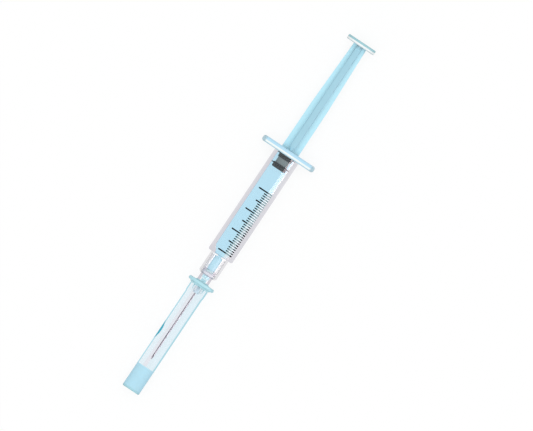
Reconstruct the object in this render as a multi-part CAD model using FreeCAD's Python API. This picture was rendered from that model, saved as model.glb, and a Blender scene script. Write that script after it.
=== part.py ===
import FreeCAD, Part
import math
import os

# Luer lock syringe of 3 mL with its needle screwed on and sheathed, drawn fully back.
# Millimetres. X is the axis: the thumb disc is at -X and the needle points to +X.
# It lies on Z = 0 on a flat side of the finger flange, and the origin is under its middle.

# Plunger rod, one moulding
disc_radius = 8.0
disc_thickness = 2.45
disc_edge = 0.3
rod_exposed = 63.05
rod_radius_rear = 3.62
rod_radius_middle = 4.78
rod_middle_share = 0.58
rod_web = 1.2
spine_width = 3.4
spine_thickness = 1.1
spine_end_gap = 1.4
rod_head_thickness = 1.5

# Stopper, moulded rubber, and the stud that holds it
stopper_inset = 2.7
stopper_land = 2.7
stopper_land_radius = 3.9
stopper_waist = 3.0
stopper_waist_radius = 3.4
stopper_edge = 0.4
seal_root = 0.9
seal_tip = 0.4
seal_inset = 0.75
seal_gap = 0.035
stud_neck_radius = 1.5
stud_neck_length = 1.6
stud_head_radius = 2.4
stud_head_length = 1.8

# Barrel, one clear moulding with the flange, collar and male tip
capacity = 3000.0
scale_length = 36.8
barrel_radius = 7.12
barrel_length = 63.5
flange_span = 30.7
flange_height = 15.8
flange_thickness = 3.15
flange_edge = 0.7
shoulder_edge = 0.6
mouth_edge = 0.4
floor_bevel_length = 3.0
floor_bevel_height = 1.8
floor_well_length = 1.04
floor_inset = 0.1
floor_thickness = 0.8
lip_height = 0.12
lip_length = 1.1
lip_edge = 0.15
lip_gap = 0.1
rod_lip_gap = 0.05
end_gap = 0.1

# Luer lock: male taper of 6 percent inside a collar with a right-hand double-start thread
collar_radius = 5.15
collar_length = 11.85
collar_edge = 0.9
taper = 0.06
tip_end_radius = 1.975
tip_proud = 1.85
tip_taper_length = 7.5
tip_edge = 0.25
channel_radius = 1.05
thread_lead = 5.0
thread_starts = 2
thread_length = 7.2
thread_root_radius = 4.0
thread_crest_radius = 3.5
ridge_crest_width = 0.5
ridge_root_width = 1.1
thread_gap = 0.1
lug_gap = 0.18
lug_arc = 64.0

# Needle hub, one moulding that screws into the collar
hub_depth = 3.5
hub_neck_radius = 3.35
hub_neck_exposed = 4.05
hub_flare_length = 0.5
hub_flare_height = 0.6
taper_gap = 0.03
socket_clearance = 0.7
socket_lead_in = 0.8
rim_radius = 7.3
rim_thickness = 1.8
rim_edge = 0.45
hub_flange_thickness = 2.75
hub_step = 1.1
hub_step_face = 0.15
nose_radius = 1.7
nose_length = 3.6
fin_length = 2.6
fin_thickness = 0.7
fin_lead_in = 0.8
fin_count = 4

# Needle, steel tube bonded in the hub
needle_exposed = 40.0
needle_radius = 0.41
needle_bore_radius = 0.255
needle_bevel = 14.0
bond_length = 2.6
bond_thickness = 0.26
bond_gap = 0.02
bond_meniscus = 0.15

# Sheath, a clear tube with a closed end piece pressed over its tail
tube_radius = 4.88
tube_mouth_radius = 5.1
tube_mouth_length = 4.0
tube_mouth_step = 1.0
tube_mouth_bevel = 0.25
tube_edge = 0.15
tube_wall = 0.9
tube_length = 48.3
tail_length = 3.0
tail_radius = 4.4
seat_gap = 0.05
fin_gap = 0.04
end_radius = 4.85
end_length = 13.8
end_wall = 1.1
end_edge = 0.35

# Worked out from those
bore_radius = math.sqrt(capacity / (math.pi * scale_length))
lip_radius = bore_radius - lip_height
rod_radius_front = lip_radius - rod_lip_gap
seal_radius = bore_radius - seal_gap
stopper_length = 2 * stopper_land + stopper_waist
ridge_slope = (ridge_root_width - ridge_crest_width) / (thread_root_radius - thread_crest_radius)
thread_pitch = thread_lead / thread_starts
tube_bore_radius = tube_radius - tube_wall

# Stations along the axis from the thumb face, in the drawn-back state
x_rod = disc_thickness
x_flange = x_rod + rod_exposed
x_stopper = x_flange + stopper_inset
x_shoulder = x_flange + barrel_length
x_channel = x_shoulder - floor_inset
x_floor_well = x_channel - floor_well_length
x_floor = x_floor_well - floor_bevel_length
x_cavity = x_channel + floor_thickness
x_collar_end = x_shoulder + collar_length
x_tip_end = x_collar_end + tip_proud
x_tip_root = x_tip_end - tip_taper_length
x_mouth = x_collar_end - hub_depth
x_rim = x_collar_end + hub_neck_exposed
x_seat = x_rim + hub_flange_thickness
x_nose_end = x_seat + nose_length
x_needle_tip = x_nose_end + needle_exposed
x_tube = x_seat + seat_gap
x_tube_end = x_tube + tube_length
x_end = x_tube_end + end_length
rest_height = max(disc_radius, flange_height / 2, rim_radius)


def turned(corners):
    """A solid turned about X from a closed outline of (x, radius) corners. A third number bevels its corner."""
    points = []
    for i, corner in enumerate(corners):
        here = FreeCAD.Vector(corner[0], 0, corner[1])
        if len(corner) == 2:
            points.append(here)
            continue
        before = corners[i - 1]
        after = corners[(i + 1) % len(corners)]
        back = (FreeCAD.Vector(before[0], 0, before[1]) - here).normalize()
        onward = (FreeCAD.Vector(after[0], 0, after[1]) - here).normalize()
        points.append(here + back * corner[2])
        points.append(here + onward * corner[2])
    outline = Part.makePolygon(points + points[:1])
    return Part.Face(outline).revolve(FreeCAD.Vector(0, 0, 0), FreeCAD.Vector(1, 0, 0), 360)


def prism(outline, push):
    """A closed outline of vectors pushed along a vector into a solid."""
    return Part.Face(Part.makePolygon(outline + outline[:1])).extrude(push)


def box(x_from, x_to, y_half, z_half):
    """A box along the axis, centred on it."""
    corner = FreeCAD.Vector(x_from, -y_half, -z_half)
    return Part.makeBox(x_to - x_from, 2 * y_half, 2 * z_half, corner)


def helical_bar(x_from, x_to, inner, outer, inner_width, outer_width, angle):
    """A bar of trapezoid section wound about X at the thread's lead, centred on an angle at the collar's end."""
    path = Part.makeHelix(thread_lead, x_to - x_from, inner)
    section = [
        FreeCAD.Vector(inner, 0, -inner_width / 2),
        FreeCAD.Vector(outer, 0, -outer_width / 2),
        FreeCAD.Vector(outer, 0, outer_width / 2),
        FreeCAD.Vector(inner, 0, inner_width / 2),
    ]
    bar = Part.Wire(path).makePipeShell([Part.makePolygon(section + section[:1])], True, True)
    bar.rotate(FreeCAD.Vector(0, 0, 0), FreeCAD.Vector(0, 1, 0), 90)
    bar.translate(FreeCAD.Vector(x_from, 0, 0))
    turn = 360 * (x_from - x_collar_end) / thread_lead + angle
    bar.rotate(FreeCAD.Vector(0, 0, 0), FreeCAD.Vector(1, 0, 0), turn)
    return bar


def tip_radius(x):
    """The male taper's radius at a station."""
    return tip_end_radius + taper / 2 * (x_tip_end - x)


def plunger_rod():
    """Thumb disc, four webs, a spine on the upper and lower webs, a head and the stopper's stud."""
    x_head = x_stopper - rod_head_thickness
    x_middle = x_rod + rod_middle_share * rod_exposed
    x_spine_end = x_flange - spine_end_gap
    disc = turned(
        [
            (0, 0),
            (0, disc_radius, disc_edge),
            (disc_thickness, disc_radius, disc_edge),
            (disc_thickness, 0),
        ]
    )
    envelope = turned(
        [
            (x_rod - 0.5, 0),
            (x_rod - 0.5, rod_radius_rear),
            (x_rod, rod_radius_rear),
            (x_middle, rod_radius_middle),
            (x_flange, rod_radius_front),
            (x_stopper, rod_radius_front),
            (x_stopper, 0),
        ]
    )
    webs = box(x_rod - 0.5, x_head + 0.2, disc_radius, rod_web / 2)
    webs = webs.fuse(box(x_rod - 0.5, x_head + 0.2, rod_web / 2, disc_radius))
    spine = prism(
        [
            FreeCAD.Vector(x_rod - 0.5, -spine_width / 2, rod_radius_rear - spine_thickness),
            FreeCAD.Vector(x_middle, -spine_width / 2, rod_radius_middle - spine_thickness),
            FreeCAD.Vector(x_flange, -spine_width / 2, rod_radius_front - spine_thickness),
            FreeCAD.Vector(x_flange, -spine_width / 2, rod_radius_front),
            FreeCAD.Vector(x_rod - 0.5, -spine_width / 2, rod_radius_front),
        ],
        FreeCAD.Vector(0, spine_width, 0),
    )
    plan = box(x_rod - 1, x_spine_end - spine_width / 2, spine_width / 2, disc_radius)
    round_end = Part.makeCylinder(
        spine_width / 2,
        2 * disc_radius,
        FreeCAD.Vector(x_spine_end - spine_width / 2, 0, -disc_radius),
    )
    spine = spine.common(plan.fuse(round_end))
    lower_spine = spine.mirror(FreeCAD.Vector(0, 0, 0), FreeCAD.Vector(0, 0, 1))
    body = webs.fuse([spine, lower_spine]).common(envelope)
    head = turned(
        [
            (x_head, 0),
            (x_head, rod_radius_front),
            (x_stopper, rod_radius_front),
            (x_stopper, stud_neck_radius),
            (x_stopper + stud_neck_length, stud_neck_radius),
            (x_stopper + stud_neck_length, stud_head_radius),
            (x_stopper + stud_neck_length + stud_head_length, stud_head_radius),
            (x_stopper + stud_neck_length + stud_head_length, 0),
        ]
    )
    return disc.fuse([body, head]).removeSplitter()


def stopper():
    """Two lands with a waist between, a thin sealing lip on each land, and a pocket that snaps over the stud."""
    x_waist = x_stopper + stopper_land
    x_front_land = x_waist + stopper_waist
    x_front = x_stopper + stopper_length
    x_pocket = x_stopper + stud_neck_length
    x_rear_seal = x_stopper + seal_inset
    x_front_seal = x_front_land + seal_inset
    return turned(
        [
            (x_stopper, stud_neck_radius),
            (x_stopper, stopper_land_radius),
            (x_rear_seal - seal_root / 2, stopper_land_radius),
            (x_rear_seal - seal_tip / 2, seal_radius),
            (x_rear_seal + seal_tip / 2, seal_radius),
            (x_rear_seal + seal_tip / 2, stopper_land_radius),
            (x_waist, stopper_land_radius),
            (x_waist, stopper_waist_radius),
            (x_front_land, stopper_waist_radius),
            (x_front_land, stopper_land_radius),
            (x_front_seal - seal_root / 2, stopper_land_radius),
            (x_front_seal - seal_tip / 2, seal_radius),
            (x_front_seal + seal_tip / 2, seal_radius),
            (x_front_seal + seal_tip / 2, stopper_land_radius),
            (x_front, stopper_land_radius, stopper_edge),
            (x_front, 0),
            (x_pocket + stud_head_length, 0),
            (x_pocket + stud_head_length, stud_head_radius),
            (x_pocket, stud_head_radius),
            (x_pocket, stud_neck_radius),
        ]
    )


def barrel():
    """Tube, finger flange, retaining lip, cone floor, male tip and threaded collar in one clear moulding."""
    x_lip_front = x_stopper - lip_gap
    x_lip_rear = x_lip_front - lip_length
    body = turned(
        [
            (x_flange, bore_radius + mouth_edge),
            (x_flange, barrel_radius),
            (x_shoulder, barrel_radius, shoulder_edge),
            (x_shoulder, collar_radius),
            (x_collar_end, collar_radius, collar_edge),
            (x_collar_end, thread_root_radius),
            (x_cavity, thread_root_radius),
            (x_cavity, tip_radius(x_tip_root)),
            (x_tip_root, tip_radius(x_tip_root)),
            (x_tip_end, tip_end_radius, tip_edge),
            (x_tip_end, channel_radius),
            (x_channel, channel_radius),
            (x_channel, bore_radius - floor_bevel_height),
            (x_floor_well, bore_radius - floor_bevel_height),
            (x_floor, bore_radius),
            (x_lip_front, bore_radius),
            (x_lip_front - lip_edge, lip_radius),
            (x_lip_rear + lip_edge, lip_radius),
            (x_lip_rear, bore_radius),
            (x_flange + mouth_edge, bore_radius),
        ]
    )
    x_flange_front = x_flange + flange_thickness
    plate = turned(
        [
            (x_flange, 0),
            (x_flange, flange_span / 2, flange_edge),
            (x_flange_front, flange_span / 2, flange_edge),
            (x_flange_front, 0),
        ]
    )
    flats = prism(
        [
            FreeCAD.Vector(x_flange, -flange_span, flange_edge - flange_height / 2),
            FreeCAD.Vector(x_flange + flange_edge, -flange_span, -flange_height / 2),
            FreeCAD.Vector(x_flange_front - flange_edge, -flange_span, -flange_height / 2),
            FreeCAD.Vector(x_flange_front, -flange_span, flange_edge - flange_height / 2),
            FreeCAD.Vector(x_flange_front, -flange_span, flange_height / 2 - flange_edge),
            FreeCAD.Vector(x_flange_front - flange_edge, -flange_span, flange_height / 2),
            FreeCAD.Vector(x_flange + flange_edge, -flange_span, flange_height / 2),
            FreeCAD.Vector(x_flange, -flange_span, flange_height / 2 - flange_edge),
        ],
        FreeCAD.Vector(0, 2 * flange_span, 0),
    )
    plate = plate.common(flats)
    opening = turned(
        [
            (x_flange - 1, 0),
            (x_flange - 1, barrel_radius - 0.3),
            (x_flange_front + 1, barrel_radius - 0.3),
            (x_flange_front + 1, 0),
        ]
    )
    ridges = []
    for start in range(thread_starts):
        ridges.append(
            helical_bar(
                x_collar_end - thread_length,
                x_collar_end + thread_pitch,
                thread_crest_radius,
                thread_root_radius + 0.15,
                ridge_crest_width,
                ridge_root_width + 0.15 * ridge_slope,
                360 * (start + 0.5) / thread_starts,
            )
        )
    collar_space = turned(
        [
            (x_cavity, 0),
            (x_cavity, thread_root_radius + 0.15),
            (x_collar_end - 0.1, thread_root_radius + 0.15),
            (x_collar_end - 0.1, 0),
        ]
    )
    ridges = [ridge.common(collar_space) for ridge in ridges]
    return body.fuse([plate.cut(opening)] + ridges).removeSplitter()


def needle_hub():
    """Skirt with two lugs and a tapered socket, wide flange, nose with the needle's well, fins for the sheath."""
    x_well = x_nose_end - bond_length
    x_socket_end = x_tip_end + socket_clearance
    hole = needle_radius + bond_gap
    well = hole + bond_thickness + bond_gap
    body = turned(
        [
            (x_mouth, tip_radius(x_mouth) + taper_gap),
            (x_mouth, hub_neck_radius),
            (x_rim - hub_flare_length, hub_neck_radius),
            (x_rim, hub_neck_radius + hub_flare_height),
            (x_rim, rim_radius, rim_edge),
            (x_rim + rim_thickness, rim_radius, rim_edge),
            (x_rim + rim_thickness, tube_mouth_radius + hub_step),
            (x_seat - hub_step_face, tube_mouth_radius),
            (x_seat, tube_mouth_radius),
            (x_seat, nose_radius),
            (x_nose_end, nose_radius),
            (x_nose_end, well),
            (x_well, well),
            (x_well, hole),
            (x_socket_end + socket_lead_in, hole),
            (x_socket_end, channel_radius),
            (x_socket_end, tip_radius(x_socket_end) + taper_gap),
        ]
    )
    lug_tip_radius = thread_root_radius - thread_gap
    lug_rise = thread_lead * lug_arc / 360
    groove_half_at_tip = (thread_pitch - ridge_crest_width - ridge_slope * 0.4) / 2
    lug_tip_width = 2 * (groove_half_at_tip - lug_gap)
    lug_root_width = lug_tip_width + ridge_slope * (lug_tip_radius - hub_neck_radius + 0.3)
    x_lug = x_mouth + lug_root_width / 2 - 0.1
    lugs = []
    for start in range(thread_starts):
        lugs.append(
            helical_bar(
                x_lug,
                x_lug + lug_rise,
                hub_neck_radius - 0.3,
                lug_tip_radius,
                lug_root_width,
                lug_tip_width,
                360 * start / thread_starts,
            )
        )
    ahead = box(x_mouth + 0.1, x_rim, rim_radius, rim_radius)
    lugs = [lug.common(ahead) for lug in lugs]
    fins = []
    for number in range(fin_count):
        fin = prism(
            [
                FreeCAD.Vector(x_seat - 0.3, -fin_thickness / 2, 0.7 * nose_radius),
                FreeCAD.Vector(x_seat + fin_length, -fin_thickness / 2, 0.7 * nose_radius),
                FreeCAD.Vector(x_seat + fin_length, -fin_thickness / 2, tube_bore_radius - fin_lead_in),
                FreeCAD.Vector(x_seat + fin_length - fin_lead_in, -fin_thickness / 2, tube_bore_radius - fin_gap),
                FreeCAD.Vector(x_seat - 0.3, -fin_thickness / 2, tube_bore_radius - fin_gap),
            ],
            FreeCAD.Vector(0, fin_thickness, 0),
        )
        fin.rotate(
            FreeCAD.Vector(0, 0, 0),
            FreeCAD.Vector(1, 0, 0),
            360 * (number + 0.5) / fin_count,
        )
        fins.append(fin)
    return body.fuse(lugs + fins).removeSplitter()


def cannula():
    """Steel tube with a ground lancet point: one long bevel and two side bevels."""
    x_rear = x_tip_end + socket_clearance + socket_lead_in + 0.1
    tube = turned(
        [
            (x_rear, needle_bore_radius),
            (x_rear, needle_radius),
            (x_needle_tip, needle_radius),
            (x_needle_tip, needle_bore_radius),
        ]
    )
    height = 3 * needle_radius
    for lean, roll in ((needle_bevel, 0), (1.5 * needle_bevel, 35), (1.5 * needle_bevel, -35)):
        slope = math.tan(math.radians(lean))
        x_start = x_needle_tip + needle_radius * (1 - math.cos(math.radians(roll))) / slope
        grind = prism(
            [
                FreeCAD.Vector(x_start, -height, -needle_radius),
                FreeCAD.Vector(x_start - height / slope, -height, height - needle_radius),
                FreeCAD.Vector(x_start + 1, -height, height - needle_radius),
                FreeCAD.Vector(x_start + 1, -height, -needle_radius),
            ],
            FreeCAD.Vector(0, 2 * height, 0),
        )
        grind.rotate(FreeCAD.Vector(0, 0, 0), FreeCAD.Vector(1, 0, 0), roll)
        tube = tube.cut(grind)
    return tube


def needle_bond():
    """Ring of cured adhesive in the nose's well, round the steel tube."""
    inner = needle_radius + bond_gap
    x_well = x_nose_end - bond_length + bond_gap
    return turned(
        [
            (x_well, inner),
            (x_well, inner + bond_thickness),
            (x_nose_end - 0.1, inner + bond_thickness),
            (x_nose_end + bond_meniscus, inner),
        ]
    )


def sheath_tube():
    """Clear tube, a little wider at the mouth, with a turned-down tail."""
    return turned(
        [
            (x_tube, tube_bore_radius + tube_mouth_bevel),
            (x_tube, tube_mouth_radius, tube_edge),
            (x_tube + tube_mouth_length, tube_mouth_radius),
            (x_tube + tube_mouth_length + tube_mouth_step, tube_radius),
            (x_tube_end, tube_radius),
            (x_tube_end, tail_radius),
            (x_tube_end + tail_length, tail_radius),
            (x_tube_end + tail_length, tube_bore_radius),
            (x_tube + tube_mouth_bevel, tube_bore_radius),
        ]
    )


def sheath_end():
    """Closed end piece pressed over the tube's tail."""
    return turned(
        [
            (x_tube_end, tail_radius),
            (x_tube_end, end_radius),
            (x_end, end_radius, end_edge),
            (x_end, 0),
            (x_end - end_wall, 0),
            (x_end - end_wall, tube_bore_radius),
            (x_tube_end + tail_length, tube_bore_radius),
            (x_tube_end + tail_length, tail_radius),
        ]
    )


pieces = {
    "plunger_rod": plunger_rod(),
    "stopper": stopper(),
    "barrel": barrel(),
    "needle_hub": needle_hub(),
    "cannula": cannula(),
    "needle_bond": needle_bond(),
    "sheath_tube": sheath_tube(),
    "sheath_end": sheath_end(),
}

os.makedirs("parts", exist_ok=True)
for name, shape in pieces.items():
    shape.translate(FreeCAD.Vector(-x_end / 2, 0, rest_height))
    shape.exportStep("parts/" + name + ".step")
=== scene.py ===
import math
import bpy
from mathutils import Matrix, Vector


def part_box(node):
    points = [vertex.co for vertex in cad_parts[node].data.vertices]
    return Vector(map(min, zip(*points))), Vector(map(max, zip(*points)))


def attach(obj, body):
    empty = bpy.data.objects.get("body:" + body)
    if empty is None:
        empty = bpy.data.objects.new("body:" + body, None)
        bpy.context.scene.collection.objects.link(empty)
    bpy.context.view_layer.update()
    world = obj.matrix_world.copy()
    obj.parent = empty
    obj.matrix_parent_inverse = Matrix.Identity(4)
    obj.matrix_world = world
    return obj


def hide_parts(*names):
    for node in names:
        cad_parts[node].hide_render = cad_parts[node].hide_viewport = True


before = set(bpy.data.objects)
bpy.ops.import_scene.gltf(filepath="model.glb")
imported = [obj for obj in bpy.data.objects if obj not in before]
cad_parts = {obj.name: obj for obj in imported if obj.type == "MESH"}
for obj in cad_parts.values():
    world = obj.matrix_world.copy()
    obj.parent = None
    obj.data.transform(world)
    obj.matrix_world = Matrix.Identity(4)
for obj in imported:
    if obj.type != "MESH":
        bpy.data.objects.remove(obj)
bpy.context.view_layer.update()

from types import SimpleNamespace

import bpy
from mathutils import Vector

# Plunger rod: one moulding of pale blue polypropylene with a thumb disc, four tapering webs and a
# raised spine along the upper and the lower web. The thick parts look deeper in colour, with
# painted shade along the spine's edges, and the disc is teal at its rear, with a painted white
# highlight on its front and a painted shade line at its front rim.

axis_height = 0.008


def paint(red, green, blue):
    """A linear colour from sRGB values of 0 to 255."""
    linear = []
    for value in (red, green, blue):
        share = value / 255
        linear.append(share / 12.92 if share <= 0.04045 else ((share + 0.055) / 1.055) ** 2.4)
    return (*linear, 1)


def place_node(tree, kind, sockets, **settings):
    """A node of any tree with its settings, and its sockets set to values or joined to outputs."""
    made = tree.nodes.new(kind)
    for name, value in settings.items():
        setattr(made, name, value)
    for name, value in sockets.items():
        if isinstance(value, bpy.types.NodeSocket):
            tree.links.new(value, made.inputs[name])
        else:
            made.inputs[name].default_value = value
    return made


def add_node(tree, kind, sockets, **settings):
    """A node of the family that shaders use, by the short name of its kind."""
    return place_node(tree, "ShaderNode" + kind, sockets, **settings)


def calculate(tree, operation, first, second=0.0):
    """The result of one sum on two numbers or outputs."""
    return add_node(tree, "Math", {0: first, 1: second}, operation=operation).outputs[0]


def both(tree, first, second):
    """A mask that is 1 where two masks are, or one mask made weaker by a number."""
    return calculate(tree, "MULTIPLY", first, second)


def rising(tree, value, low, high):
    """A smooth step from 0 at the low value to 1 at the high one."""
    sockets = {"Value": value, "From Min": low, "From Max": high}
    return add_node(tree, "MapRange", sockets, interpolation_type="SMOOTHSTEP").outputs[0]


def below(tree, value, high, soft=0.00003):
    """A mask that is 1 up to the high value, with a soft end."""
    return rising(tree, value, high + soft, high - soft)


def between(tree, value, low, high, soft=0.00003):
    """A mask that is 1 from the low value to the high one, with soft ends."""
    return both(tree, rising(tree, value, low - soft, low + soft), below(tree, value, high, soft))


def overlay(tree, mask, under, over):
    """One colour laid over another where the mask is 1."""
    return add_node(tree, "Mix", {0: mask, 6: under, 7: over}, data_type="RGBA").outputs[2]


def new_material(name):
    """An empty node material and its tree."""
    material = bpy.data.materials.new(name)
    material.use_nodes = True
    material.node_tree.nodes.clear()
    return material, material.node_tree


def places(tree):
    """A surface point, its places along, across and up from the syringe's axis, and its radius."""
    point = add_node(tree, "TexCoord", {}).outputs["Object"]
    along, across, height = add_node(tree, "SeparateXYZ", {0: point}).outputs
    up = calculate(tree, "SUBTRACT", height, axis_height)
    across_squared = calculate(tree, "MULTIPLY", across, across)
    up_squared = calculate(tree, "MULTIPLY", up, up)
    radius = calculate(tree, "SQRT", calculate(tree, "ADD", across_squared, up_squared))
    return SimpleNamespace(point=point, along=along, across=across, up=up, radius=radius)


def moulded(tree, point, colour, roughness, shine=0.3):
    """A semi-gloss moulded plastic with faint flow clouds in its colour and a fine grain."""
    clouds = add_node(tree, "TexNoise", {"Vector": point, "Scale": 260.0, "Detail": 3.0})
    shade = add_node(tree, "MapRange", {"Value": clouds.outputs[0], "To Min": 0.97, "To Max": 1.03})
    varied = add_node(tree, "VectorMath", {0: colour, "Scale": shade.outputs[0]}, operation="SCALE")
    grain = add_node(tree, "TexNoise", {"Vector": point, "Scale": 2600.0, "Detail": 4.0}).outputs[0]
    rough = {"Value": grain, "To Min": roughness - 0.08, "To Max": roughness + 0.08}
    bump = add_node(tree, "Bump", {"Strength": 0.04, "Distance": 0.0001, "Height": grain})
    return add_node(
        tree,
        "BsdfPrincipled",
        {
            "Base Color": varied.outputs[0],
            "Roughness": add_node(tree, "MapRange", rough).outputs[0],
            "Normal": bump.outputs[0],
            "IOR": 1.49,
            "Specular IOR Level": shine,
        },
    ).outputs[0]


def finish_material(tree, shader):
    """Joins the finished shader to the material's output."""
    tree.links.new(shader, add_node(tree, "OutputMaterial", {}).inputs[0])


def smooth_copy(name, node, body, material):
    """Puts a merged, smoothly shaded copy of a CAD node in the node's place on its body."""
    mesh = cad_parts[node].data.copy()
    mesh.materials.clear()
    mesh.materials.append(material)
    piece = bpy.data.objects.new(name, mesh)
    bpy.context.scene.collection.objects.link(piece)
    weld = piece.modifiers.new("weld", "WELD")
    weld.merge_threshold = 0.000001
    depsgraph = bpy.context.evaluated_depsgraph_get()
    piece.data = bpy.data.meshes.new_from_object(piece.evaluated_get(depsgraph))
    piece.data.name = name
    piece.modifiers.clear()
    piece.data.shade_smooth()
    piece.data.set_sharp_from_angle(angle=math.radians(50))
    even = piece.modifiers.new("even shading", "WEIGHTED_NORMAL")
    even.keep_sharp = True
    even.weight = 100
    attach(piece, body)
    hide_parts(node)


disc_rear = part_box("plunger_rod")[0].x
disc_teal_end = disc_rear + 0.00115
disc_front = disc_rear + 0.00245
disc_rim_width = 0.0004
spine_half_width = 0.0017
spine_edge_width = 0.0003
spine_foot = 0.0021
spine_full = 0.0024
rod_blue = paint(196, 241, 254)
spine_blue = paint(168, 212, 228)
spine_edge_painted_shade = paint(163, 207, 225)
disc_teal = paint(164, 208, 216)
disc_painted_highlight = paint(245, 251, 252)
disc_rim_painted_shade = paint(205, 220, 224)

rod_material, tree = new_material("plunger_plastic")
at = places(tree)
side = calculate(tree, "ABSOLUTE", at.across)
height = calculate(tree, "ABSOLUTE", at.up)
within_spine = below(tree, side, spine_half_width + 0.00002)
on_spine = both(tree, within_spine, rising(tree, height, spine_foot, spine_full))
edge_start = spine_half_width - spine_edge_width
spine_edge_shade_band = between(tree, side, edge_start, spine_half_width + 0.0001, 0.0001)
disc_rim = between(tree, at.along, disc_front - disc_rim_width, disc_front - 0.00002)
# Painted shade along the spine's edges
colour = overlay(tree, on_spine, rod_blue, spine_blue)
colour = overlay(tree, both(tree, on_spine, spine_edge_shade_band), colour, spine_edge_painted_shade)
# A painted white highlight on the disc's front, with a painted shade line at its front rim
colour = overlay(tree, below(tree, at.along, disc_front), colour, disc_painted_highlight)
colour = overlay(tree, disc_rim, colour, disc_rim_painted_shade)
colour = overlay(tree, below(tree, at.along, disc_teal_end), colour, disc_teal)
finish_material(tree, moulded(tree, at.point, colour, 0.5, 0.12))
smooth_copy("plunger_rod_moulding", "plunger_rod", "plunger", rod_material)

# Stopper: dark synthetic rubber, moulded with two sealing ribs and a waist between them, and
# snapped over the rod's stud. The waist is painted a lighter grey than the ribs.

waist_from = -0.034
waist_to = -0.031
rubber_dark = paint(74, 67, 64)
waist_light_grey = paint(170, 154, 145)
dust_grey = paint(96, 87, 82)

stopper_material, tree = new_material("stopper_rubber")
at = places(tree)
on_waist = between(tree, at.along, waist_from, waist_to, 0.0002)
dust = add_node(tree, "TexNoise", {"Vector": at.point, "Scale": 1500.0, "Detail": 6.0}).outputs[0]
# The waist is painted a lighter grey than the ribs
colour = overlay(tree, on_waist, rubber_dark, waist_light_grey)
speckled = overlay(tree, rising(tree, dust, 0.6, 0.9), colour, dust_grey)
pores = add_node(tree, "Bump", {"Strength": 0.15, "Distance": 0.0001, "Height": dust})
rubber = add_node(
    tree,
    "BsdfPrincipled",
    {
        "Base Color": speckled,
        "Roughness": 0.7,
        "Normal": pores.outputs[0],
        "Specular IOR Level": 0.15,
    },
)
finish_material(tree, rubber.outputs[0])
smooth_copy("stopper_moulding", "stopper", "plunger", stopper_material)

# Barrel: one clear polypropylene moulding with the finger flange, the male luer tip and the
# threaded collar. Its walls look pinkish grey where the eye looks along them, and its bore looks
# blue, with a painted highlight that makes it paler on the right, where the scale is printed. The
# flange and the tip are milky, with a painted white highlight on the flange and a painted pale band
# on the tip.


def either(tree, first, second):
    """A mask that is 1 where at least one of two masks is."""
    return calculate(tree, "MAXIMUM", first, second)


def all_but(tree, mask):
    """A mask that is 1 where the given one is 0."""
    return calculate(tree, "SUBTRACT", 1.0, mask)


def grazing_view(tree):
    """0 where the eye looks straight at the surface, 1 where it looks along it."""
    return add_node(tree, "LayerWeight", {"Blend": 0.5}).outputs["Facing"]


def right_of_glare_line(tree, at):
    """A mask that is 1 to the right of a slightly leaning line, where a painted glare lies on the
    print and the bore.
    """
    slanted = calculate(tree, "ADD", at.across, calculate(tree, "MULTIPLY", at.along, 0.027))
    return rising(tree, slanted, 0.0021, 0.0026)


def scale_front(tree, at):
    """A mask that is 1 from the middle of the scale to its front."""
    return rising(tree, at.along, 0.0025, 0.0045)


def blended(tree, share, first, second):
    """One shader that gives way to another where the share is 1."""
    return add_node(tree, "MixShader", {0: share, 1: first, 2: second}).outputs[0]


def see_through(tree, point, tint, roughness, gloss):
    """A clear plastic: light goes straight through with a tint, and the outer skin is glossy."""
    clear = add_node(tree, "BsdfTransparent", {"Color": tint}).outputs[0]
    ripple = add_node(tree, "TexNoise", {"Vector": point, "Scale": 700.0, "Detail": 3.0}).outputs[0]
    waves = add_node(tree, "Bump", {"Strength": 0.012, "Distance": 0.0001, "Height": ripple})
    sheen = add_node(
        tree,
        "BsdfGlossy",
        {"Color": (1, 1, 1, 1), "Roughness": roughness, "Normal": waves.outputs[0]},
    ).outputs[0]
    bounce = add_node(tree, "Fresnel", {"IOR": 1.49}).outputs[0]
    outside = all_but(tree, add_node(tree, "NewGeometry", {}).outputs["Backfacing"])
    share = both(tree, both(tree, bounce, outside), gloss)
    return blended(tree, share, clear, sheen)


# Places along the barrel
flange_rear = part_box("barrel")[0].x
flange_blue_end = flange_rear + 0.00165
flange_front = flange_rear + 0.00315
tube_bevel_start = 0.01996
tube_bevel_end = 0.02296
floor_face = 0.024
shoulder = 0.0241
milky_tip_from = 0.0248
milky_tip_to = 0.0362

# Tints of what is clear, as each surface filters the light
bore_tint = (0.722, 0.9, 0.975, 1)
bore_edge_tint = (0.65, 0.69, 0.76, 1)
# The paler bore tints on the right and beside the scale are a painted highlight
right_bore_painted_highlight = (0.752, 0.925, 0.985, 1)
scale_side_painted_highlight = (0.88, 0.94, 0.965, 1)
bore_wall_tint = (0.9, 0.908, 0.93, 1)
clear_tint = (0.985, 0.985, 0.99, 1)
left_cavity_tint = (0.961, 0.973, 0.99, 1)
left_wall_tint = (0.828, 0.818, 0.845, 1)
right_wall_tint = (0.843, 0.837, 0.862, 1)
left_collar_tint = (0.868, 0.864, 0.874, 1)
right_collar_tint = (0.89, 0.887, 0.897, 1)
tip_wall_tint = (0.79, 0.95, 0.995, 1)

# Colours of what is milky
flange_blue = paint(187, 228, 249)
# The flange's white is a painted highlight
flange_painted_highlight = paint(243, 252, 252)
flange_front_blue = paint(187, 224, 238)
flange_end_blue = paint(178, 214, 228)
tip_root_blue = paint(186, 230, 250)
tip_blue = paint(198, 240, 255)
# The tip's pale band is painted light over the shade of the hub's ring and lugs
tip_painted_light = paint(226, 255, 255)

barrel_material, tree = new_material("clear_barrel")
at = places(tree)
grazing = grazing_view(tree)

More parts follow.
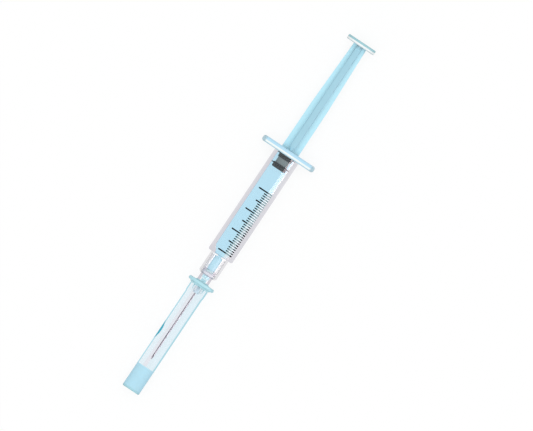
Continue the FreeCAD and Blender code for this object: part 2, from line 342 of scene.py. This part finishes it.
# The outer skin is clear in its middle and tinted along both edges, earlier at the tube's bevel
on_collar = rising(tree, at.along, shoulder - 0.00006, shoulder - 0.00002)
off_collar = all_but(tree, on_collar)
skin = either(tree, rising(tree, at.radius, 0.0058, 0.006), on_collar)
left_edge = overlay(tree, on_collar, left_wall_tint, left_collar_tint)
right_edge = overlay(tree, on_collar, right_wall_tint, right_collar_tint)
skin_edge = overlay(tree, rising(tree, at.across, 0.0, 0.001), left_edge, right_edge)
left_cavity = both(tree, on_collar, rising(tree, at.across, -0.0021, -0.0025))
skin_clear = overlay(tree, left_cavity, clear_tint, left_cavity_tint)
bevel_range = {
    "Value": at.along,
    "From Min": tube_bevel_start,
    "From Max": tube_bevel_end,
    "To Max": 0.187,
}
bevel = add_node(tree, "MapRange", bevel_range).outputs[0]
wall_seen = calculate(tree, "ADD", grazing, both(tree, bevel, off_collar))
skin_tint = overlay(tree, rising(tree, wall_seen, 0.28, 0.32), skin_clear, skin_edge)

# The bore is blue, paler under a painted highlight beside the scale and under it, and greyish at
# its right wall
beside_scale = rising(tree, at.along, -0.0166, -0.0156)
right_side = both(tree, beside_scale, rising(tree, at.across, 0.0004, 0.0009))
scale_highlight_side = both(tree, beside_scale, right_of_glare_line(tree, at))
bore_colour = overlay(tree, rising(tree, grazing, 0.72, 0.86), bore_tint, bore_edge_tint)
bore_colour = overlay(tree, right_side, bore_colour, right_bore_painted_highlight)
bore_colour = overlay(tree, scale_highlight_side, bore_colour, scale_side_painted_highlight)
bore_colour = overlay(tree, rising(tree, at.across, 0.0041, 0.0047), bore_colour, bore_wall_tint)

# The tip's tints at its root and its end, where it isn't milky
past_floor = rising(tree, at.along, floor_face + 0.00001, floor_face + 0.00002)
on_tip = both(tree, past_floor, below(tree, at.radius, 0.0025))
past_root = rising(tree, at.along, milky_tip_from - 0.0001, milky_tip_from + 0.0001)
channel_tint = overlay(tree, past_root, bore_tint, clear_tint)
tip_tint = overlay(tree, rising(tree, at.radius, 0.0011, 0.0013), channel_tint, tip_wall_tint)
tint = overlay(tree, skin, bore_colour, skin_tint)
tint = overlay(tree, on_tip, tint, tip_tint)

# The skin is duller at the tube's end and beside the print
tube_end = both(tree, rising(tree, at.along, 0.0208, 0.0222), off_collar)
worn_side = both(tree, scale_front(tree, at), rising(tree, at.across, 0.0039, 0.0042))
dull = either(tree, either(tree, tube_end, worn_side), both(tree, scale_highlight_side, 0.6))
gloss = both(tree, skin, all_but(tree, both(tree, dull, 0.8)))
clear = see_through(tree, at.point, tint, 0.07, gloss)

# The flange is blue at its rear, front face and ends, with a painted white highlight on the rest,
# and the tip has a band of painted light beside the hub's rear end that lifts the shade of the
# hub's ring and lugs
front_face = between(tree, at.along, flange_front - 0.0005, flange_front + 0.0001)
flange_end = rising(tree, calculate(tree, "ABSOLUTE", at.across), 0.0128, 0.0142)
past_root_colour = rising(tree, at.along, floor_face + 0.0007, floor_face + 0.0011)
tip_light_band = between(tree, at.along, 0.0329, 0.0347, 0.0006)
flange_colour = overlay(tree, below(tree, at.along, flange_blue_end), flange_painted_highlight, flange_blue)
flange_colour = overlay(tree, front_face, flange_colour, flange_front_blue)
flange_colour = overlay(tree, flange_end, flange_colour, flange_end_blue)
tip_colour = overlay(tree, past_root_colour, tip_root_blue, tip_blue)
tip_colour = overlay(tree, tip_light_band, tip_colour, tip_painted_light)
milky_colour = overlay(tree, rising(tree, at.along, 0.0, 0.001), flange_colour, tip_colour)
milky = moulded(tree, at.point, milky_colour, 0.35)

flange_length = between(tree, at.along, flange_rear - 0.001, flange_front + 0.00002, 0.00001)
on_flange = both(tree, flange_length, rising(tree, at.radius, 0.0055, 0.0056))
milky_tip = both(tree, on_tip, between(tree, at.along, milky_tip_from, milky_tip_to, 0.0001))
finish_material(tree, blended(tree, either(tree, on_flange, milky_tip), clear, milky))
smooth_copy("barrel_moulding", "barrel", "syringe_barrel", barrel_material)

# Scale: 31 marks of dark ink rolled onto the barrel, one for each 0.1 mL, longer at every 0.5 mL
# and longest at every 1 mL. The marks' right part carries a painted pale glare, and the ink is dull
# at their front right ends, where no glare is painted. The marks are laid out flat and then
# wrapped round the barrel's wall.

ink_black = paint(3, 8, 14)
ink_patch = paint(10, 20, 28)
ink_painted_glare = paint(132, 163, 168)
barrel_radius = 0.00712

# Angles round the barrel, from its crest, of the marks' common right end and of their left ends
right_end = math.asin(0.00502 / barrel_radius)
short_end = math.asin(0.0009 / barrel_radius)
medium_end = math.asin(-0.0007 / barrel_radius)
long_end = math.asin(-0.0029 / barrel_radius)

ink_material, tree = new_material("scale_ink")
at = places(tree)
patches = add_node(tree, "TexNoise", {"Vector": at.point, "Scale": 1800.0, "Detail": 2.0})
worn = both(tree, scale_front(tree, at), rising(tree, at.across, 0.0035, 0.0041))
# A painted pale glare on the marks' right part, left off their dull front right ends
glare_on_ink = calculate(tree, "SUBTRACT", right_of_glare_line(tree, at), worn)
ink_colour = overlay(tree, rising(tree, patches.outputs[0], 0.45, 0.7), ink_black, ink_patch)
ink_roughness = add_node(tree, "MapRange", {"Value": worn, "To Min": 0.12, "To Max": 0.6})
ink_shine = add_node(tree, "MapRange", {"Value": worn, "To Min": 0.12, "To Max": 0.02})
ink = add_node(
    tree,
    "BsdfPrincipled",
    {
        "Base Color": overlay(tree, glare_on_ink, ink_colour, ink_painted_glare),
        "Roughness": ink_roughness.outputs[0],
        "IOR": 1.49,
        "Specular IOR Level": ink_shine.outputs[0],
    },
)
finish_material(tree, ink.outputs[0])

marks_tree = bpy.data.node_groups.new("printed_scale", "GeometryNodeTree")
inputs = {
    "Marks": ("NodeSocketInt", 31),
    "Spacing": ("NodeSocketFloat", 0.0368 / 30),
    "Zero Place": ("NodeSocketFloat", 0.02123),
    "Mark Width": ("NodeSocketFloat", 0.00059),
    "Ink Height": ("NodeSocketFloat", 0.00002),
    "Bold": ("NodeSocketFloat", 1.22),
    "Start Arc": ("NodeSocketFloat", barrel_radius * right_end),
    "Short": ("NodeSocketFloat", barrel_radius * (right_end - short_end)),
    "Medium": ("NodeSocketFloat", barrel_radius * (right_end - medium_end)),
    "Long": ("NodeSocketFloat", barrel_radius * (right_end - long_end)),
    "Wall Radius": ("NodeSocketFloat", barrel_radius),
    "Axis Height": ("NodeSocketFloat", axis_height),
    "Ink": ("NodeSocketMaterial", ink_material),
}
for name, (kind, value) in inputs.items():
    marks_tree.interface.new_socket(name=name, in_out="INPUT", socket_type=kind)
marks_tree.interface.new_socket(
    name="Geometry", in_out="OUTPUT", socket_type="NodeSocketGeometry"
)
given = marks_tree.nodes.new("NodeGroupInput").outputs


def geometry_node(kind, sockets):
    """A geometry node of the scale's tree, by the short name of its kind."""
    return place_node(marks_tree, "GeometryNode" + kind, sockets).outputs[0]


def reckon(operation, first, second=0.0):
    """One sum in the scale's tree."""
    return calculate(marks_tree, operation, first, second)


def vector(x, y, z):
    """Three numbers as a vector in the scale's tree."""
    return add_node(marks_tree, "CombineXYZ", {0: x, 1: y, 2: z}).outputs[0]


# One bar of unit length that starts at zero and lies on the wall
bar_size = vector(given["Mark Width"], 1.0, given["Ink Height"])
bar = geometry_node(
    "MeshCube", {"Size": bar_size, "Vertices X": 2, "Vertices Y": 13, "Vertices Z": 2}
)
bar_start = vector(0.0, -0.5, reckon("MULTIPLY", given["Ink Height"], 0.5))
bar = geometry_node("Transform", {"Geometry": bar, "Translation": bar_start})

# A row of them, with each mark's length and boldness from its number
step = vector(reckon("MULTIPLY", given["Spacing"], -1.0), 0.0, 0.0)
row = geometry_node("MeshLine", {"Count": given["Marks"], "Offset": step})
number = geometry_node("InputIndex", {})
is_tenth = reckon("LESS_THAN", reckon("MODULO", number, 10.0), 0.5)
is_fifth = reckon("LESS_THAN", reckon("MODULO", number, 5.0), 0.5)
five_extra = reckon("MULTIPLY", is_fifth, reckon("SUBTRACT", given["Medium"], given["Short"]))
ten_extra = reckon("MULTIPLY", is_tenth, reckon("SUBTRACT", given["Long"], given["Medium"]))
mark_length = reckon("ADD", given["Short"], reckon("ADD", five_extra, ten_extra))
extra_boldness = reckon("MULTIPLY", is_fifth, reckon("SUBTRACT", given["Bold"], 1.0))
mark_size = vector(reckon("ADD", 1.0, extra_boldness), mark_length, 1.0)
laid = geometry_node("InstanceOnPoints", {"Points": row, "Instance": bar, "Scale": mark_size})
flat = geometry_node("RealizeInstances", {"Geometry": laid})

# The flat row wrapped round the barrel, then inked
spot = add_node(marks_tree, "SeparateXYZ", {0: geometry_node("InputPosition", {})}).outputs
turn = reckon("DIVIDE", reckon("ADD", spot[1], given["Start Arc"]), given["Wall Radius"])
reach = reckon("ADD", given["Wall Radius"], spot[2])
wrapped_place = vector(
    reckon("ADD", spot[0], given["Zero Place"]),
    reckon("MULTIPLY", reach, reckon("SINE", turn)),
    reckon("ADD", given["Axis Height"], reckon("MULTIPLY", reach, reckon("COSINE", turn))),
)
wrapped = geometry_node("SetPosition", {"Geometry": flat, "Position": wrapped_place})
inked = geometry_node("SetMaterial", {"Geometry": wrapped, "Material": given["Ink"]})
marks_tree.links.new(inked, marks_tree.nodes.new("NodeGroupOutput").inputs[0])

scale_print = bpy.data.objects.new("scale_print", bpy.data.meshes.new("scale_print"))
bpy.context.scene.collection.objects.link(scale_print)
printer = scale_print.modifiers.new("printed scale", "NODES")
printer.node_group = marks_tree
for item in marks_tree.interface.items_tree:
    if item.in_out == "INPUT":
        printer[item.identifier] = inputs[item.name][1]
depsgraph = bpy.context.evaluated_depsgraph_get()
printed = bpy.data.meshes.new_from_object(scale_print.evaluated_get(depsgraph))
scale_print.modifiers.clear()
scale_print.data = printed
printed.name = "scale_print"
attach(scale_print, "syringe_barrel")

# Needle hub: one polypropylene moulding. Its lugged skirt is clear with pinkish edges and a milky
# ring, and screws into the collar, its wide flange is teal, and its nose is paler. Four clear fins
# with blue edges stand on the nose and hold the sheath.

ring_from = 0.0339
ring_to = 0.036
core_from = 0.0381
skirt_end = 0.0395
nose_start = 0.04275
nose_radius = 0.0017
skirt_clear_tint = (0.985, 0.99, 0.995, 1)
skirt_edge_tint = (0.80, 0.785, 0.82, 1)
core_tint = (0.68, 0.86, 0.91, 1)
socket_tint = (0.985, 0.993, 0.996, 1)
fin_clear_tint = (0.99, 0.995, 0.998, 1)
fin_edge_tint = (0.84, 0.93, 0.95, 1)
ring_end_grey = paint(208, 211, 223)
ring_white = paint(240, 240, 246)
flange_teal = paint(186, 231, 241)
nose_blue = paint(232, 245, 253)

hub_material, tree = new_material("hub_plastic")
at = places(tree)
grazing = grazing_view(tree)
skin = rising(tree, at.radius, 0.0026, 0.0028)
past_flange = rising(tree, at.along, nose_start + 0.00002, nose_start + 0.00005)
off_nose = rising(tree, at.radius, nose_radius + 0.00002, nose_radius + 0.00004)
on_fins = both(tree, past_flange, off_nose)
core_length = rising(tree, at.along, core_from - 0.0003, core_from + 0.0003)
core = both(tree, core_length, rising(tree, grazing, 0.13, 0.06))
skirt_tint = overlay(tree, core, skirt_clear_tint, core_tint)
skirt_tint = overlay(tree, rising(tree, grazing, 0.15, 0.24), skirt_tint, skirt_edge_tint)
fin_tint = overlay(tree, rising(tree, grazing, 0.4, 0.6), fin_clear_tint, fin_edge_tint)
tint = overlay(tree, on_fins, overlay(tree, skin, socket_tint, skirt_tint), fin_tint)
gloss = both(tree, skin, both(tree, all_but(tree, on_fins), 0.4))
clear = see_through(tree, at.point, tint, 0.3, gloss)

ring_middle = between(tree, at.along, ring_from + 0.0005, ring_to - 0.0005, 0.0001)
ring_colour = overlay(tree, ring_middle, ring_end_grey, ring_white)
teal_colour = overlay(tree, past_flange, flange_teal, nose_blue)
past_ring = rising(tree, at.along, ring_to, ring_to + 0.0001)
milky_colour = overlay(tree, past_ring, ring_colour, teal_colour)
# The hub's inner faces glow in the milky colour, painted light that makes the slits behind the
# clear fins show that colour instead of shade
inside = add_node(tree, "NewGeometry", {}).outputs["Backfacing"]
painted_inner_light = add_node(tree, "Emission", {"Color": milky_colour, "Strength": 0.5}).outputs[0]
milky = blended(tree, inside, moulded(tree, at.point, milky_colour, 0.45, 0.2), painted_inner_light)

on_ring = both(tree, between(tree, at.along, ring_from, ring_to), skin)
past_skirt = rising(tree, at.along, skirt_end - 0.0001, skirt_end + 0.0001)
flange_and_nose = calculate(tree, "SUBTRACT", past_skirt, on_fins)
finish_material(tree, blended(tree, either(tree, on_ring, flange_and_nose), clear, milky))
smooth_copy("needle_hub_moulding", "needle_hub", "needle", hub_material)

# Needle: stainless steel tube, drawn to size and ground to a slanting point. It has fine drawing
# lines along it, and it sits in the hub's nose.

steel_dark = paint(144, 137, 141)
steel_light = paint(158, 151, 155)

steel_material, tree = new_material("needle_steel")
at = places(tree)
stretched = add_node(tree, "Mapping", {"Vector": at.point, "Scale": (60.0, 9000.0, 9000.0)})
fine_lines = {"Vector": stretched.outputs[0], "Scale": 1.0, "Detail": 3.0}
lines = add_node(tree, "TexNoise", fine_lines).outputs[0]
steel_gloss = add_node(tree, "MapRange", {"Value": lines, "To Min": 0.4, "To Max": 0.5})
steel = add_node(
    tree,
    "BsdfPrincipled",
    {
        "Base Color": overlay(tree, lines, steel_dark, steel_light),
        "Metallic": 1.0,
        "Roughness": steel_gloss.outputs[0],
    },
)
finish_material(tree, steel.outputs[0])
smooth_copy("needle_tube", "cannula", "needle", steel_material)

# Adhesive ring: a bead of pale adhesive, run into the hub's nose round the needle and cured
# there. It holds the needle in the hub.

adhesive_grey = paint(222, 230, 226)[:3]

bond_material, tree = new_material("cured_adhesive")
at = places(tree)
finish_material(tree, moulded(tree, at.point, adhesive_grey, 0.2))
smooth_copy("adhesive_ring", "needle_bond", "needle_lead", bond_material)

# Sheath: an extruded tube of clear polyethylene, pushed over the hub's fins. It has thin blue edges
# where the eye looks along its wall, a faint pinkish painted shade beside the needle, painted shade
# deepening its right half, and a teal painted reflection on its left side.

reflection_middle = 0.0712
reflection_half = 0.0054
reflection_depth = 0.0011
tube_side = 0.00488
left_tube_tint = (0.95, 0.975, 0.989, 1)
right_tube_painted_shade = (0.9405, 0.9715, 0.9865, 1)
needle_painted_shade_tint = (0.95, 0.955, 0.9695, 1)
left_tube_edge_tint = (0.69, 0.86, 0.91, 1)
right_tube_edge_painted_shade = (0.665, 0.84, 0.89, 1)
reflection_teal = paint(44, 180, 206)[:3]

sheath_material, tree = new_material("clear_sheath")
at = places(tree)
skin = rising(tree, at.radius, 0.0043, 0.0045)
# The right half carries painted shade, and its edge band starts a little earlier
right_half = rising(tree, at.across, -0.0002, 0.0004)
wall_seen = calculate(tree, "ADD", grazing_view(tree), both(tree, right_half, 0.05))
edge = both(tree, rising(tree, wall_seen, 0.44, 0.56), skin)
# A faint pinkish painted shade beside the needle
needle_shade_band = between(tree, at.across, -0.0019, 0.0, 0.0004)
wall_colour = overlay(tree, right_half, left_tube_tint, right_tube_painted_shade)
wall_colour = overlay(tree, needle_shade_band, wall_colour, needle_painted_shade_tint)
edge_colour = overlay(tree, right_half, left_tube_edge_tint, right_tube_edge_painted_shade)
tint = overlay(tree, edge, wall_colour, edge_colour)
gloss = both(tree, skin, both(tree, all_but(tree, edge), 0.09))
clear = see_through(tree, at.point, tint, 0.35, gloss)

# The painted teal reflection is a lens as seen from above, deepest at its middle
from_middle = calculate(tree, "SUBTRACT", at.along, reflection_middle)
distance = calculate(tree, "ABSOLUTE", from_middle)
share_of_half = calculate(tree, "DIVIDE", distance, reflection_half)
lens = all_but(tree, calculate(tree, "POWER", share_of_half, 2.0))
lens_depth = calculate(tree, "MULTIPLY", lens, reflection_depth)
from_side = calculate(tree, "ADD", at.across, tube_side)
inside_lens = calculate(tree, "SUBTRACT", lens_depth, from_side)
on_reflection = both(tree, rising(tree, inside_lens, -0.00003, 0.00003), skin)
# A painted teal reflection on the tube's left side
mark = moulded(tree, at.point, reflection_teal, 0.4)
finish_material(tree, blended(tree, on_reflection, clear, mark))
smooth_copy("sheath_tube_moulding", "sheath_tube", "sheath", sheath_material)

# Sheath end: a cup of pale blue polyethylene, moulded and pressed over the tube's tail, with
# painted shade deepening its colour at its closed end.

closed_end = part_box("sheath_end")[1].x
cup_blue = paint(195, 238, 254)
cup_end_painted_shade = paint(181, 226, 236)

end_material, tree = new_material("sheath_end_plastic")
at = places(tree)
near_end = rising(tree, at.along, closed_end - 0.0016, closed_end - 0.0006)
# Painted shade deepens the colour towards the closed end
colour = overlay(tree, near_end, cup_blue, cup_end_painted_shade)
cup = moulded(tree, at.point, colour, 0.6, 0.04)
glow_through = add_node(tree, "BsdfTranslucent", {"Color": colour}).outputs[0]
finish_material(tree, blended(tree, 0.12, cup, glow_through))
smooth_copy("sheath_end_moulding", "sheath_end", "sheath", end_material)

# Floor: a sheet of plain white paper, laid flat under the syringe. It looks white wherever no
# shadow falls on it, and throws light back up as paper does.


def seen_directly(tree):
    """A mask that is 1 for what the camera sees itself, in gloss or through something clear."""
    path = add_node(tree, "LightPath", {}).outputs
    sent_on = either(tree, path["Is Glossy Ray"], path["Is Transmission Ray"])
    return either(tree, path["Is Camera Ray"], sent_on)


paper_bounce = (0.8, 0.8, 0.8, 1)
paper_seen = (0.14, 0.14, 0.14, 1)
paper_glow = 0.86

floor_mesh = bpy.data.meshes.new("floor")
floor_mesh.from_pydata([(-3, -3, 0), (3, -3, 0), (3, 3, 0), (-3, 3, 0)], [], [(0, 1, 2, 3)])
floor = bpy.data.objects.new("floor", floor_mesh)
bpy.context.scene.collection.objects.link(floor)
floor_material, tree = new_material("floor_paper")
seen = seen_directly(tree)
paper_colour = overlay(tree, seen, paper_bounce, paper_seen)
paper = add_node(tree, "BsdfDiffuse", {"Color": paper_colour}).outputs[0]
glow = add_node(tree, "Emission", {"Strength": both(tree, seen, paper_glow)}).outputs[0]
finish_material(tree, add_node(tree, "AddShader", {0: paper, 1: glow}).outputs[0])
floor_mesh.materials.append(floor_material)

# Studio: an even white tent, one wide soft lamp overhead, and a long strip box on the right side
# that shows only as the streak on glossy plastic.

tent_level = 0.62
overhead_level = 0.38
overhead_spread = math.radians(50)
strip_tilt = math.radians(64)
strip_length = 1.4
strip_width = 0.74
strip_pink = (1.0, 0.82, 0.88)
strip_level = 6.5

world = bpy.data.worlds.new("studio")
bpy.context.scene.world = world
world.use_nodes = True
tree = world.node_tree
tree.nodes.clear()
seen_extra = both(tree, seen_directly(tree), 1 - tent_level)
level = calculate(tree, "ADD", tent_level, seen_extra)
tent = add_node(tree, "Background", {"Color": (1, 1, 1, 1), "Strength": level})
tree.links.new(tent.outputs[0], add_node(tree, "OutputWorld", {}).inputs[0])

overhead_data = bpy.data.lights.new("overhead", "SUN")
overhead_data.energy = overhead_level * math.pi
overhead_data.angle = overhead_spread
overhead = bpy.data.objects.new("overhead", overhead_data)
overhead.visible_glossy = False
bpy.context.scene.collection.objects.link(overhead)

strip_data = bpy.data.lights.new("strip_box", "AREA")
strip_data.shape = "RECTANGLE"
strip_data.size = strip_length
strip_data.size_y = strip_width
strip_data.color = strip_pink
strip_data.energy = strip_level * math.pi * strip_length * strip_width
strip = bpy.data.objects.new("strip_box", strip_data)
strip.location = Vector((0, math.sin(strip_tilt), axis_height + math.cos(strip_tilt)))
strip.rotation_euler = (-strip_tilt, 0, 0)
strip.visible_diffuse = False
strip.visible_transmission = False
strip.visible_volume_scatter = False
bpy.context.scene.collection.objects.link(strip)

# Camera: square to the syringe's axis and straight above it, with no perspective, and turned so
# that the needle points down and to the left.

view_across = 0.2676
view_middle = (-0.005865, 0.00811)
view_height = 0.5
view_turn = math.radians(123.77)

camera_data = bpy.data.cameras.new("camera")
camera_data.type = "ORTHO"
camera_data.ortho_scale = view_across
camera = bpy.data.objects.new("camera", camera_data)
camera.location = (*view_middle, view_height)
camera.rotation_euler = (0, 0, view_turn)
bpy.context.scene.collection.objects.link(camera)
bpy.context.scene.camera = camera
bpy.context.scene.view_settings.view_transform = "Standard"
